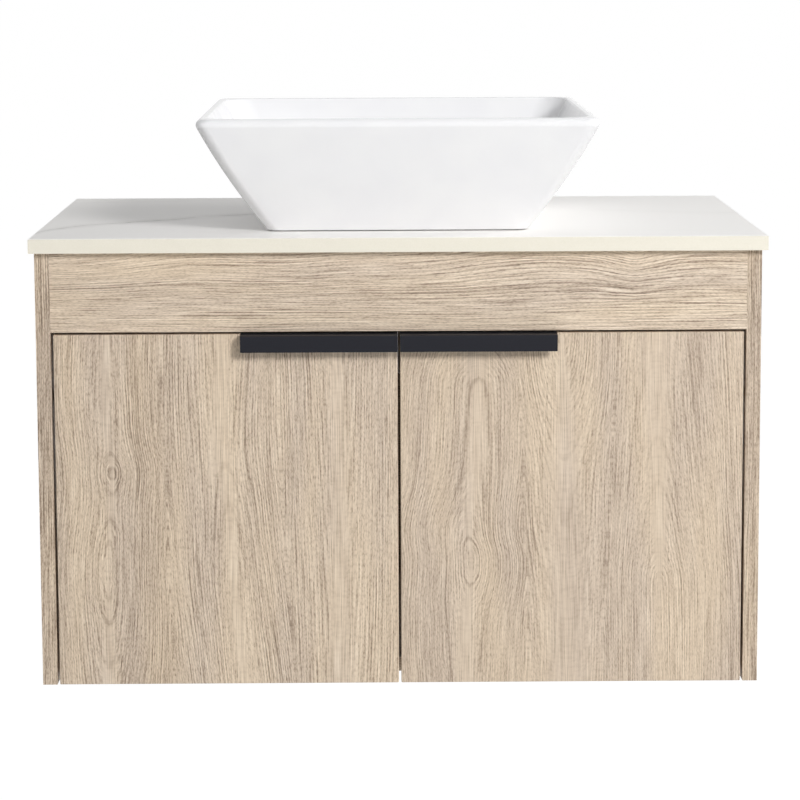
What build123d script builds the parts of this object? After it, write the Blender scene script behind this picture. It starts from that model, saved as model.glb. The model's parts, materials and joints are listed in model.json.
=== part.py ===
import os
from math import cos, hypot, radians, sin

from build123d import *

os.makedirs("parts", exist_ok=True)

# Sizes are in millimetres. +Z is up, +Y points at the wall and the doors face -Y.
# The origin is the middle of the four wall fixing holes, on the plane of the wall.

# Carcass boards
cabinet_width = 740.0         # across the two side panels
cabinet_depth = 450.0         # wall to the front of doors, fascia and sides
cabinet_height = 450.0        # lower ends of the sides to the underside of the top
board = 15.0                  # thickness of the carcass boards
edge_band = 1.0               # strip glued on the front edge of each side
fascia_height = 82.0          # fixed panel above the doors
bottom_raise = 5.0            # underside of the bottom panel above the ends of the sides
rail_height = 80.0            # both back rails
rail_drop = 10.0              # top of the upper rail below the underside of the top

# Wall fixing holes, in the middle of each back rail
fixing_spacing = 406.4        # two wall studs, 16 inches apart
fixing_hole_radius = 4.0

# Back sheet, pinned between the rails and the sides
back_sheet = 5.0
window_width = 200.0          # two openings for the water and waste pipes
window_web = 90.0             # solid strip between the openings
window_rise = 20.0            # openings above the lower rail
window_drop = 80.0            # openings below the upper rail

# Dowels and cam fittings that join the boards to the sides
dowel_radius = 4.0
dowel_in_side = 10.0
dowel_in_board = 20.0
dowel_from_end = 15.0         # dowel to the end of a rail or of the fascia
bottom_dowel_inset = 40.0     # dowel to the front or back edge of the bottom panel
bottom_cam_inset = 90.0       # cam to the front or back edge of the bottom panel
cam_radius = 7.5
cam_distance = 24.0           # cam centre to the end of the board
cam_skin = 2.5                # wood left behind the cam
cam_cap = 3.0                 # solid face of the cam above its slot
cam_bolt_radius = 3.0
cam_bolt_in_side = 10.0
bore_clearance = 0.05         # all round a dowel, cam, bolt, screw or thread in its bore
bore_end_room = 0.5           # bore deeper than what goes in

# Doors
door_thickness = 15.0
door_gap = 2.5                # at the sides, between the doors and under the fascia
door_edge_round = 1.0

# Edge pulls on the doors
handle_length = 160.0
handle_sheet = 1.5
handle_reach = 16.0           # front of the lip from the face of the door
handle_lip = 17.0
handle_flange = 20.0          # leg down the back of the door
handle_bend = 1.0             # outside radius of the folds
handle_end_room = 0.5         # rebate longer than the pull
handle_screw_spacing = 96.0

# Concealed hinges
hinge_from_end = 70.0         # hinge centre to the end of the door
pivot_from_edge = 18.0        # pin to the hinge edge of the door
pivot_from_back = 7.0         # pin to the back face of the door
pin_radius = 1.5
pin_length = 22.0
pin_running = 0.05            # arm eye around the pin
pin_seat = 0.02               # cup around the pin
cup_radius = 17.5
cup_from_edge = 4.0           # rim of the cup hole to the edge of the door
cup_depth = 11.5
cup_wall = 1.2
cup_floor = 1.0
cup_flange = 1.5
cup_flange_lap = 1.0          # flange over the rim of the hole
cup_ear_radius = 6.0
cup_screw_spacing = 48.0
cup_screw_offset = 6.0        # screws further from the edge than the cup centre
eye_radius = 3.0
arm_sheet = 2.2
arm_width = 12.0
arm_side_room = 0.5           # arm to each cheek of the cup
arm_bend = 5.0
neck_angle = 34.5             # way out of the cup, from the plane of the closed door
neck_reach = 26.0
arm_seat_start = 37.0         # pin to the near end of the mounting plate
arm_seat_length = 44.0
plate_height = 6.5
wing_height = 2.5
wing_width = 16.0
wing_span = 48.0
plate_screw_spacing = 32.0
swing_clearance = 1.0         # bottom panel behind the swinging edge of a door

# Screws
screw_shank = 1.75
screw_head = 3.5              # radius of a head at its seat
screw_head_top = 2.5          # radius of a head at its crown
screw_head_height = 1.8
screw_in_board = 10.0
clamp_shank = 2.0
clamp_in_plate = 5.0
recess_width = 0.9

# Angle brackets between the sides and the top
bracket_leg = 35.0
bracket_drop = 30.0
bracket_width = 30.0
bracket_sheet = 2.0
bracket_inset = 60.0          # bracket centre to the fascia or to the upper rail
bracket_screw_spacing = 16.0
bracket_screw_drop = 18.0

# Slab top
top_thickness = 15.0
overhang_front = 10.0
overhang_side = 5.0
top_arris = 1.0
tap_hole_radius = 17.5
tap_hole_from_wall = 30.0

# Vessel basin
basin_base = 271.0
basin_rim = 415.5             # flare at the rim before it is rounded
basin_height = 119.0
basin_bulge = 3.75            # how far the walls swell at half height
basin_corner = 13.0
basin_from_front = 64.0       # base of the basin to the front of the top
basin_rim_wall = 14.0
basin_wall = 13.0
basin_floor = 14.0
bowl_corner = 30.0
bowl_round = 22.0             # wall to floor inside the bowl
rim_round = 6.0               # outer edge of the rim
rim_inner_round = 2.5
base_round = 2.0
basin_seal_height = 1.0
basin_seal_inset = 3.0
basin_seal_width = 8.0

# Pop-up drain
drain_hole_radius = 22.5      # in the basin
top_drain_radius = 24.0       # in the slab
drain_radius = 20.0
drain_flange_radius = 33.0
drain_flange = 3.0
drain_flange_round = 1.0
drain_gasket = 2.0
gasket_land = 1.5             # how far a gasket stays inside the rim above it
drain_below_top = 50.0        # threaded body under the slab
lower_gasket = 3.0
nut_height = 12.0
nut_radius = 30.0
tail_radius = 15.9
tail_wall = 1.2
tail_length = 120.0
tail_insert = 18.0
guide_radius = 7.0
guide_height = 10.0
guide_drop = 14.0             # top of the guide below the face of the flange
spoke_count = 3
spoke_width = 3.0
spoke_root = 0.5              # spoke inside the guide and inside the wall
stem_radius = 4.0
stem_below_guide = 12.0
stopper_radius = 29.0
stopper_rim = 2.5
stopper_crown = 4.0
stopper_seal_width = 8.0
stopper_seal_height = 2.0

# Places worked out from the sizes
upper_hole = cabinet_height - rail_drop - rail_height / 2
lower_hole = bottom_raise + board + rail_height / 2
foot_z = -(upper_hole + lower_hole) / 2
top_z = foot_z + cabinet_height
deck_z = top_z + top_thickness
inner_x = cabinet_width / 2 - board
front_y = -cabinet_depth
door_back_y = front_y + door_thickness
fascia_z = top_z - fascia_height
upper_rail_z = foot_z + upper_hole
lower_rail_z = foot_z + lower_hole
bottom_z = foot_z + bottom_raise

edge_x = -inner_x + door_gap
meeting_x = -door_gap / 2
door_top = fascia_z - door_gap
pivot_x = edge_x + pivot_from_edge
pivot_y = door_back_y - pivot_from_back
swing_radius = hypot(pivot_from_edge, max(pivot_from_back, door_thickness - pivot_from_back))
bottom_front_y = pivot_y + swing_radius + swing_clearance
hinge_heights = {"lower": foot_z + hinge_from_end, "upper": door_top - hinge_from_end}
cup_x = edge_x + cup_from_edge + cup_radius
seat_front_y = pivot_y + arm_seat_start
seat_mid_y = seat_front_y + arm_seat_length / 2
arm_back_x = -inner_x + plate_height + arm_sheet

slab_front_y = front_y - overhang_front
basin_y = slab_front_y + basin_from_front + basin_base / 2
basin_z = deck_z + basin_seal_height
bowl_floor_z = basin_z + basin_floor
flange_z = bowl_floor_z + drain_gasket
flange_top_z = flange_z + drain_flange
drain_end_z = top_z - drain_below_top
guide_top_z = flange_top_z - guide_drop
stopper_z = flange_top_z + stopper_seal_height

down = (Align.CENTER, Align.CENTER, Align.MAX)
up = (Align.CENTER, Align.CENTER, Align.MIN)

# Where each board meets a side panel: dowel and cam points as (y, z), and the face the cam is let into
rail_dowel = rail_height / 2 - dowel_from_end
fascia_dowel = fascia_height / 2 - dowel_from_end
rail_y = -board / 2
fascia_y = front_y + board / 2
bottom_mid_z = bottom_z + board / 2
fascia_mid_z = fascia_z + fascia_height / 2
board_ends = {
    "bottom_panel": {
        "dowels": [(bottom_front_y + bottom_dowel_inset, bottom_mid_z), (-bottom_dowel_inset, bottom_mid_z)],
        "cams": [(bottom_front_y + bottom_cam_inset, bottom_mid_z), (-bottom_cam_inset, bottom_mid_z)],
        "cam_face": (0, 0, -1),
    },
    "upper_hanging_rail": {
        "dowels": [(rail_y, upper_rail_z - rail_dowel), (rail_y, upper_rail_z + rail_dowel)],
        "cams": [(rail_y, upper_rail_z)],
        "cam_face": (0, -1, 0),
    },
    "lower_back_rail": {
        "dowels": [(rail_y, lower_rail_z - rail_dowel), (rail_y, lower_rail_z + rail_dowel)],
        "cams": [(rail_y, lower_rail_z)],
        "cam_face": (0, -1, 0),
    },
    "fascia_panel": {
        "dowels": [(fascia_y, fascia_mid_z - fascia_dowel), (fascia_y, fascia_mid_z + fascia_dowel)],
        "cams": [(fascia_y, fascia_mid_z)],
        "cam_face": (0, 1, 0),
    },
}

bracket_ys = [front_y + board + bracket_inset, -board - bracket_inset]
bracket_screw_z = top_z - bracket_screw_drop


def save(part, name):
    part.label = name
    export_step(part, f"parts/{name}.step")


def mirrored(part):
    with BuildPart() as twin:
        mirror(part, about=Plane.YZ)
    return twin.part


def bore(points, towards, radius, depth):
    # round holes that start at each point and run along one direction
    with Locations(*[Plane(origin=point, z_dir=towards) for point in points]):
        Cylinder(radius, depth, align=up, mode=Mode.SUBTRACT)


def rods(points, towards, radius, length):
    # round bars that start at each point and run along one direction
    with Locations(*[Plane(origin=point, z_dir=towards) for point in points]):
        Cylinder(radius, length, align=up)


def screws(seats, out, shank, length):
    # pan heads standing on their seats, with a crossed recess
    planes = [Plane(origin=seat, z_dir=out) for seat in seats]
    with Locations(*planes):
        Cylinder(shank, length, align=down)
        Cone(screw_head, screw_head_top, screw_head_height, align=up)
    with Locations(*[plane.offset(screw_head_height / 2) for plane in planes]):
        Box(screw_head, recess_width, screw_head_height, align=up, mode=Mode.SUBTRACT)
        Box(recess_width, screw_head, screw_head_height, align=up, mode=Mode.SUBTRACT)


def block(low, high, mode=Mode.ADD):
    # straight block between two opposite corners
    with Locations(low):
        Box(*[b - a for a, b in zip(low, high)], align=(Align.MIN, Align.MIN, Align.MIN), mode=mode)


def cam_planes(ends):
    # one plane for each cam, on the face it is let into, with x towards the near side panel
    out = Vector(*ends["cam_face"])
    planes = []
    for side in (-1, 1):
        for y, z in ends["cams"]:
            origin = Vector(side * (inner_x - cam_distance), y, z) + out * (board / 2)
            planes.append(Plane(origin=origin, x_dir=(side, 0, 0), z_dir=out))
    return planes


def bore_board_ends(ends):
    # dowel, bolt and cam bores in both ends of one board
    for side in (-1, 1):
        dowels = [(side * inner_x, y, z) for y, z in ends["dowels"]]
        bolts = [(side * inner_x, y, z) for y, z in ends["cams"]]
        bore(dowels, (-side, 0, 0), dowel_radius + bore_clearance, dowel_in_board + bore_end_room)
        bore(bolts, (-side, 0, 0), cam_bolt_radius + bore_clearance, cam_distance)
    with Locations(*cam_planes(ends)):
        Cylinder(cam_radius + bore_clearance, board - cam_skin, align=down, mode=Mode.SUBTRACT)


# Side panels, bored on their inner faces
plate_screw_points = [
    (-inner_x, seat_mid_y, height + end * plate_screw_spacing / 2)
    for height in hinge_heights.values()
    for end in (-1, 1)
]
bracket_screw_points = [
    (-inner_x, y + end * bracket_screw_spacing / 2, bracket_screw_z) for y in bracket_ys for end in (-1, 1)
]

with BuildPart() as side_panel:
    block((-inner_x - board, front_y + edge_band, foot_z), (-inner_x, 0, top_z))
    for ends in board_ends.values():
        dowels = [(-inner_x, y, z) for y, z in ends["dowels"]]
        bolts = [(-inner_x, y, z) for y, z in ends["cams"]]
        bore(dowels, (-1, 0, 0), dowel_radius + bore_clearance, dowel_in_side + bore_end_room)
        bore(bolts, (-1, 0, 0), cam_bolt_radius + bore_clearance, cam_bolt_in_side + bore_end_room)
    bore(
        plate_screw_points + bracket_screw_points,
        (-1, 0, 0),
        screw_shank + bore_clearance,
        screw_in_board + bore_end_room,
    )
save(side_panel.part, "left_side_panel")
save(mirrored(side_panel.part), "right_side_panel")

with BuildPart() as side_band:
    block((-inner_x - board, front_y, foot_z), (-inner_x, front_y + edge_band, top_z))
save(side_band.part, "left_edge_band")
save(mirrored(side_band.part), "right_edge_band")

# Boards between the sides
with BuildPart() as bottom_panel:
    block((-inner_x, bottom_front_y, bottom_z), (inner_x, 0, bottom_z + board))
    bore_board_ends(board_ends["bottom_panel"])
save(bottom_panel.part, "bottom_panel")

with BuildPart() as fascia_panel:
    block((-inner_x, front_y, fascia_z), (inner_x, front_y + board, top_z))
    bore_board_ends(board_ends["fascia_panel"])
save(fascia_panel.part, "fascia_panel")

for rail_name, rail_z in (("upper_hanging_rail", upper_rail_z), ("lower_back_rail", lower_rail_z)):
    with BuildPart() as rail:
        block((-inner_x, -board, rail_z - rail_height / 2), (inner_x, 0, rail_z + rail_height / 2))
        bore_board_ends(board_ends[rail_name])
        fixings = [(side * fixing_spacing / 2, 0, rail_z) for side in (-1, 1)]
        bore(fixings, (0, -1, 0), fixing_hole_radius, board)
    save(rail.part, rail_name)

with BuildPart() as back_panel:
    sheet_low_z = lower_rail_z + rail_height / 2
    sheet_high_z = upper_rail_z - rail_height / 2
    block((-inner_x, -back_sheet, sheet_low_z), (inner_x, 0, sheet_high_z))
    for start_x in (-window_web / 2 - window_width, window_web / 2):
        block(
            (start_x, -back_sheet, sheet_low_z + window_rise),
            (start_x + window_width, 0, sheet_high_z - window_drop),
            mode=Mode.SUBTRACT,
        )
save(back_panel.part, "back_panel")

# Hardware in the joints of the boards
with BuildPart() as carcass_dowels:
    for ends in board_ends.values():
        for side in (-1, 1):
            starts = [(side * (inner_x + dowel_in_side), y, z) for y, z in ends["dowels"]]
            rods(starts, (-side, 0, 0), dowel_radius, dowel_in_side + dowel_in_board)
save(carcass_dowels.part, "carcass_dowels")

with BuildPart() as cam_bolts:
    for ends in board_ends.values():
        for side in (-1, 1):
            starts = [(side * (inner_x + cam_bolt_in_side), y, z) for y, z in ends["cams"]]
            rods(starts, (-side, 0, 0), cam_bolt_radius, cam_bolt_in_side + cam_distance - bore_end_room)
save(cam_bolts.part, "cam_bolts")

with BuildPart() as cam_discs:
    for ends in board_ends.values():
        planes = cam_planes(ends)
        with Locations(*planes):
            Cylinder(cam_radius, board - cam_skin, align=down)
            Box(cam_radius, recess_width, cam_cap, align=(Align.CENTER, Align.CENTER, Align.CENTER),
                mode=Mode.SUBTRACT)
        with Locations(*[plane.offset(-cam_cap) for plane in planes]):
            Box(2 * cam_radius, 2 * (cam_bolt_radius + bore_clearance), board,
                align=(Align.MIN, Align.CENTER, Align.MAX), mode=Mode.SUBTRACT)
save(cam_discs.part, "cam_discs")

# Angle brackets under the top
with BuildPart() as corner_brackets:
    for side in (-1, 1):
        for y in bracket_ys:
            face_x = side * inner_x
            with BuildSketch(Plane(origin=(face_x, y, top_z), x_dir=(-side, 0, 0), z_dir=(0, side, 0))):
                with BuildLine():
                    Polyline(
                        (0, 0),
                        (bracket_leg, 0),
                        (bracket_leg, -bracket_sheet),
                        (bracket_sheet, -bracket_sheet),
                        (bracket_sheet, -bracket_drop),
                        (0, -bracket_drop),
                        close=True,
                    )
                make_face()
            extrude(amount=bracket_width / 2, both=True)
        holes = [(-side * x, y, z) for x, y, z in bracket_screw_points]
        bore(holes, (-side, 0, 0), screw_shank + bore_clearance, bracket_sheet)
save(corner_brackets.part, "corner_brackets")

with BuildPart() as bracket_screws:
    for side in (-1, 1):
        seats = [(side * (inner_x - bracket_sheet), y, z) for x, y, z in bracket_screw_points]
        screws(seats, (-side, 0, 0), screw_shank, bracket_sheet + screw_in_board)
save(bracket_screws.part, "bracket_screws")

# Slab top with its drain and tap holes
with BuildPart() as countertop:
    slab_x = cabinet_width / 2 + overhang_side
    block((-slab_x, slab_front_y, top_z), (slab_x, 0, deck_z))
    chamfer(countertop.faces().sort_by(Axis.Z)[-1].edges(), top_arris)
    bore([(0, basin_y, top_z)], (0, 0, 1), top_drain_radius, top_thickness)
    bore([(0, -tap_hole_from_wall, top_z)], (0, 0, 1), tap_hole_radius, top_thickness)
save(countertop.part, "countertop")


def basin_width(height):
    # outside width of the basin at a height above its base: a straight flare that swells a little
    share = height / basin_height
    swell = 2 * basin_bulge * 4 * share * (1 - share)
    return basin_base + (basin_rim - basin_base) * share + swell


# Vessel basin
with BuildPart() as basin:
    for height in (0, basin_height / 2, basin_height):
        with BuildSketch(Plane(origin=(0, basin_y, basin_z + height))):
            RectangleRounded(basin_width(height), basin_width(height), basin_corner)
    loft()
    fillet(basin.faces().sort_by(Axis.Z)[0].edges(), base_round)
with BuildPart() as bowl:
    bowl_middle = (basin_floor + basin_height) / 2
    bowl_walls = {basin_floor: basin_wall, bowl_middle: basin_wall, basin_height: basin_rim_wall}
    for height, wall in bowl_walls.items():
        inside = basin_width(height) - 2 * wall
        with BuildSketch(Plane(origin=(0, basin_y, basin_z + height))):
            RectangleRounded(inside, inside, bowl_corner)
    loft()
    fillet(bowl.faces().sort_by(Axis.Z)[0].edges(), bowl_round)
with BuildPart() as basin_shell:
    add(basin.part)
    add(bowl.part, mode=Mode.SUBTRACT)
    rim_face = basin_shell.faces().filter_by(Plane.XY).sort_by(Axis.Z)[-1]
    fillet(rim_face.inner_wires()[0].edges(), rim_inner_round)
    rim_face = basin_shell.faces().filter_by(Plane.XY).sort_by(Axis.Z)[-1]
    fillet(rim_face.outer_wire().edges(), rim_round)
    bore([(0, basin_y, basin_z)], (0, 0, 1), drain_hole_radius, basin_floor)
save(basin_shell.part, "basin")

with BuildPart() as basin_seal:
    seal_outside = basin_base - 2 * (base_round + basin_seal_inset)
    seal_inside = seal_outside - 2 * basin_seal_width
    with BuildSketch(Plane(origin=(0, basin_y, deck_z))):
        RectangleRounded(seal_outside, seal_outside, basin_corner)
        RectangleRounded(seal_inside, seal_inside, basin_corner / 2, mode=Mode.SUBTRACT)
    extrude(amount=basin_seal_height)
save(basin_seal.part, "basin_seal")


def ring(z, outer, inner, height):
    # flat ring on the drain axis
    with BuildSketch(Plane(origin=(0, basin_y, z))) as outline:
        Circle(outer)
        Circle(inner, mode=Mode.SUBTRACT)
    extrude(outline.sketch, amount=height)


# Pop-up drain through the basin and the slab
drain_bore = tail_radius + bore_clearance
with BuildPart() as drain_gasket_ring:
    ring(bowl_floor_z, drain_flange_radius - gasket_land, drain_radius + bore_clearance, drain_gasket)
save(drain_gasket_ring.part, "drain_flange_gasket")

with BuildPart() as drain_body:
    ring(flange_z, drain_flange_radius, drain_bore, drain_flange)
    fillet(drain_body.edges().group_by(Axis.Z)[-1], drain_flange_round)
    ring(drain_end_z, drain_radius, drain_bore, flange_z - drain_end_z)
    ring(guide_top_z - guide_height, guide_radius, stem_radius + bore_clearance, guide_height)
    spoke_length = drain_bore - guide_radius + 2 * spoke_root
    with Locations(Plane(origin=(0, basin_y, guide_top_z))):
        with PolarLocations((guide_radius + drain_bore) / 2, spoke_count):
            Box(spoke_length, spoke_width, guide_height, align=down)
save(drain_body.part, "drain_body")

with BuildPart() as lower_gasket_ring:
    ring(top_z - lower_gasket, nut_radius - gasket_land, drain_radius + bore_clearance, lower_gasket)
save(lower_gasket_ring.part, "drain_lower_gasket")

with BuildPart() as drain_nut:
    with BuildSketch(Plane(origin=(0, basin_y, top_z - lower_gasket - nut_height))):
        RegularPolygon(nut_radius, 6)
        Circle(drain_radius + bore_clearance, mode=Mode.SUBTRACT)
    extrude(amount=nut_height)
save(drain_nut.part, "drain_nut")

with BuildPart() as tailpiece:
    ring(drain_end_z + tail_insert - tail_length, tail_radius, tail_radius - tail_wall, tail_length)
save(tailpiece.part, "drain_tailpiece")

with BuildPart() as stopper_seal:
    ring(flange_top_z, stopper_radius - gasket_land, stopper_radius - stopper_seal_width, stopper_seal_height)
save(stopper_seal.part, "stopper_seal")

with BuildPart() as stopper_cap:
    with BuildSketch(Plane(origin=(0, basin_y, 0), x_dir=(1, 0, 0), z_dir=(0, -1, 0))):
        with BuildLine():
            rim_z = stopper_z + stopper_rim
            crown = Line((0, rim_z + stopper_crown), (0, stopper_z))
            Polyline(crown @ 1, (stopper_radius, stopper_z), (stopper_radius, rim_z))
            TangentArc(crown @ 0, (stopper_radius, rim_z), tangent=(1, 0))
        make_face()
    revolve(axis=Axis((0, basin_y, 0), (0, 0, 1)))
save(stopper_cap.part, "stopper_cap")

with BuildPart() as stopper_stem:
    stem_end_z = guide_top_z - guide_height - stem_below_guide
    rods([(0, basin_y, stem_end_z)], (0, 0, 1), stem_radius, stopper_z - stem_end_z)
save(stopper_stem.part, "stopper_stem")

# Doors with their edge pulls
handle_middle_x = meeting_x - handle_length / 2
handle_screw_z = door_top - handle_flange / 2
handle_screw_points = [
    (handle_middle_x + end * handle_screw_spacing / 2, door_back_y, handle_screw_z) for end in (-1, 1)
]
cup_screw_points = [
    (cup_x + cup_screw_offset, door_back_y, height + end * cup_screw_spacing / 2)
    for height in hinge_heights.values()
    for end in (-1, 1)
]

with BuildPart() as door_panel:
    block((edge_x, front_y, foot_z), (meeting_x, door_back_y, door_top))
    fillet(door_panel.edges(), door_edge_round)
    block(
        (meeting_x - handle_length - handle_end_room, front_y, door_top - handle_sheet),
        (meeting_x, door_back_y, door_top),
        mode=Mode.SUBTRACT,
    )
    cups = [(cup_x, door_back_y, height) for height in hinge_heights.values()]
    bore(cups, (0, -1, 0), cup_radius, cup_depth + bore_clearance)
    bore(
        cup_screw_points + handle_screw_points,
        (0, -1, 0),
        screw_shank + bore_clearance,
        screw_in_board + bore_end_room,
    )
save(door_panel.part, "left_door_panel")
save(mirrored(door_panel.part), "right_door_panel")

with BuildPart() as handle:
    lip_y = front_y - handle_reach
    flange_y = door_back_y + handle_sheet
    with BuildSketch(Plane.YZ.offset(meeting_x - handle_length)) as handle_section:
        with BuildLine():
            Polyline(
                (lip_y, door_top),
                (flange_y, door_top),
                (flange_y, door_top - handle_flange),
                (door_back_y, door_top - handle_flange),
                (door_back_y, door_top - handle_sheet),
                (lip_y + handle_sheet, door_top - handle_sheet),
                (lip_y + handle_sheet, door_top - handle_lip),
                (lip_y, door_top - handle_lip),
                close=True,
            )
        make_face()
        folds = handle_section.vertices().group_by(Axis.Y)[-1]
        fillet(folds, handle_bend)
    extrude(amount=handle_length)
    bore(handle_screw_points, (0, 1, 0), screw_shank + bore_clearance, handle_sheet)
save(handle.part, "left_handle")
save(mirrored(handle.part), "right_handle")

with BuildPart() as handle_screws:
    seats = [(x, flange_y, z) for x, y, z in handle_screw_points]
    screws(seats, (0, 1, 0), screw_shank, handle_sheet + screw_in_board)
save(handle_screws.part, "left_handle_screws")
save(mirrored(handle_screws.part), "right_handle_screws")

# Concealed hinges: a cup and pin in the door, a gooseneck arm and its plate on the side
flange_face_y = door_back_y + cup_flange
pocket_height = arm_width + 2 * arm_side_room
neck_x = pivot_x + neck_reach * cos(radians(neck_angle))
neck_y = pivot_y + neck_reach * sin(radians(neck_angle))
seat_x = arm_back_x - arm_sheet / 2

for level, height in hinge_heights.items():
    with BuildPart() as hinge_cup:
        with BuildSketch(Plane(origin=(cup_x, door_back_y, height), x_dir=(1, 0, 0), z_dir=(0, -1, 0))):
            Circle(cup_radius - bore_clearance)
        extrude(amount=cup_depth)
        with BuildSketch(Plane(origin=(cup_x, flange_face_y, height), x_dir=(1, 0, 0), z_dir=(0, -1, 0))):
            Circle(cup_radius + cup_flange_lap)
            with GridLocations(0, cup_screw_spacing, 1, 2):
                with Locations((cup_screw_offset, 0)):
                    Circle(cup_ear_radius)
            make_hull()
        extrude(amount=cup_flange)
        with BuildSketch(Plane(origin=(cup_x, flange_face_y, height), x_dir=(1, 0, 0), z_dir=(0, -1, 0))):
            Circle(cup_radius - bore_clearance - cup_wall)
            Rectangle(2 * cup_radius, pocket_height, mode=Mode.INTERSECT)
        extrude(amount=cup_flange + cup_depth - cup_floor, mode=Mode.SUBTRACT)
        bore([(pivot_x, pivot_y, height - pin_length / 2)], (0, 0, 1), pin_radius + pin_seat, pin_length)
        ears = [point for point in cup_screw_points if abs(point[2] - height) < cup_screw_spacing]
        bore(ears, (0, 1, 0), screw_shank + bore_clearance, cup_flange)
    save(hinge_cup.part, f"left_{level}_hinge_cup")
    save(mirrored(hinge_cup.part), f"right_{level}_hinge_cup")

    with BuildPart() as hinge_pin:
        rods([(pivot_x, pivot_y, height - pin_length / 2)], (0, 0, 1), pin_radius, pin_length)
    save(hinge_pin.part, f"left_{level}_hinge_pin")
    save(mirrored(hinge_pin.part), f"right_{level}_hinge_pin")

    with BuildPart() as hinge_arm:
        with BuildSketch(Plane.XY.offset(height)):
            with BuildLine():
                FilletPolyline(
                    (pivot_x, pivot_y),
                    (neck_x, neck_y),
                    (seat_x, seat_front_y),
                    (seat_x, seat_front_y + arm_seat_length),
                    radius=arm_bend,
                )
            trace(line_width=arm_sheet)
            with Locations((pivot_x, pivot_y)):
                Circle(eye_radius)
                Circle(pin_radius + pin_running, mode=Mode.SUBTRACT)
        extrude(amount=arm_width / 2, both=True)
        bore([(arm_back_x, seat_mid_y, height)], (-1, 0, 0), clamp_shank + bore_clearance, arm_sheet)
    save(hinge_arm.part, f"left_{level}_hinge_arm")
    save(mirrored(hinge_arm.part), f"right_{level}_hinge_arm")

    with BuildPart() as hinge_plate:
        ridge = arm_width / 2
        block(
            (-inner_x, seat_front_y, height - ridge),
            (-inner_x + plate_height, seat_front_y + arm_seat_length, height + ridge),
        )
        block(
            (-inner_x, seat_mid_y - wing_width / 2, height - wing_span / 2),
            (-inner_x + wing_height, seat_mid_y + wing_width / 2, height + wing_span / 2),
        )
        wings = [point for point in plate_screw_points if abs(point[2] - height) < plate_screw_spacing]
        bore(wings, (1, 0, 0), screw_shank + bore_clearance, wing_height)
        clamp = (-inner_x + plate_height, seat_mid_y, height)
        bore([clamp], (-1, 0, 0), clamp_shank + bore_clearance, clamp_in_plate + bore_end_room)
    save(hinge_plate.part, f"left_{level}_hinge_plate")
    save(mirrored(hinge_plate.part), f"right_{level}_hinge_plate")

with BuildPart() as cup_screws:
    seats = [(x, flange_face_y, z) for x, y, z in cup_screw_points]
    screws(seats, (0, 1, 0), screw_shank, cup_flange + screw_in_board)
save(cup_screws.part, "left_hinge_cup_screws")
save(mirrored(cup_screws.part), "right_hinge_cup_screws")

with BuildPart() as plate_screws:
    for side in (-1, 1):
        seats = [(side * (inner_x - wing_height), y, z) for x, y, z in plate_screw_points]
        screws(seats, (-side, 0, 0), screw_shank, wing_height + screw_in_board)
save(plate_screws.part, "hinge_plate_screws")

with BuildPart() as clamp_screws:
    for side in (-1, 1):
        seats = [(-side * arm_back_x, seat_mid_y, height) for height in hinge_heights.values()]
        screws(seats, (-side, 0, 0), clamp_shank, arm_sheet + clamp_in_plate)
save(clamp_screws.part, "hinge_clamp_screws")
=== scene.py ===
import json
import math

import bmesh
import bpy
from mathutils import Matrix, Vector


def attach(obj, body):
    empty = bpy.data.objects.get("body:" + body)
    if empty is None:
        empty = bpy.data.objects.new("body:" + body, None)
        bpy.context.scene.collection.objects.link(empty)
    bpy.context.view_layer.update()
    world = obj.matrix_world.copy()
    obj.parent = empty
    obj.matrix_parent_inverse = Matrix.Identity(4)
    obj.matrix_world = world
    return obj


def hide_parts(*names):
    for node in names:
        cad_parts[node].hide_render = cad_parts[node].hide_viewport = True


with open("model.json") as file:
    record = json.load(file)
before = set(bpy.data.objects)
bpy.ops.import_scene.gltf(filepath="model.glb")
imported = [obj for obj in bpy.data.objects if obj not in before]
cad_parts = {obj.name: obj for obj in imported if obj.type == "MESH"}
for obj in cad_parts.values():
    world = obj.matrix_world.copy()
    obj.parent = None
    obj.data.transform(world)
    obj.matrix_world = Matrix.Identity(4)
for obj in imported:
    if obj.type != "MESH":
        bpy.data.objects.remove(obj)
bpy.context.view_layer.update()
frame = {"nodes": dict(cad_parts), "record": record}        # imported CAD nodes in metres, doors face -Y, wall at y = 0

nodes = frame["nodes"]
perMetre = 1000.0        # the patterns of all materials are in millimetres
print("frame loaded:", len(nodes), "CAD nodes")


def hexLinear(code):
    # sRGB hex to the linear colour of a shader socket
    channels = [int(code[i:i + 2], 16) / 255 for i in (1, 3, 5)]
    return [c / 12.92 if c <= 0.04045 else ((c + 0.055) / 1.055) ** 2.4 for c in channels] + [1.0]


def addNode(tree, kind, inputs=None, stops=None, curve=None, **settings):
    # one node with its settings, values and links; stops fill a ramp and curve fills a float curve
    node = tree.nodes.new(kind)
    for name, value in settings.items():
        setattr(node, name, value)
    for socket, value in (inputs or {}).items():
        if isinstance(value, bpy.types.NodeSocket):
            tree.links.new(value, node.inputs[socket])
        else:
            node.inputs[socket].default_value = value
    if stops:
        ramp = node.color_ramp
        for element, (place, code) in zip(ramp.elements, (stops[0], stops[-1])):
            element.position, element.color = place, hexLinear(code)
        for place, code in stops[1:-1]:
            ramp.elements.new(place).color = hexLinear(code)
    if curve:
        line = node.mapping.curves[0]
        line.points[0].location, line.points[1].location = curve[0], curve[-1]
        for place in curve[1:-1]:
            line.points.new(*place)
        node.mapping.update()
    return node


def newMaterial(name):
    material = bpy.data.materials.new(name)
    material.use_nodes = True
    material.node_tree.nodes.clear()
    return material, material.node_tree


def closeMaterial(tree, surface):
    # principled shader straight into the output
    shader = addNode(tree, "ShaderNodeBsdfPrincipled", surface)
    addNode(tree, "ShaderNodeOutputMaterial", {"Surface": shader.outputs[0]})


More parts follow.
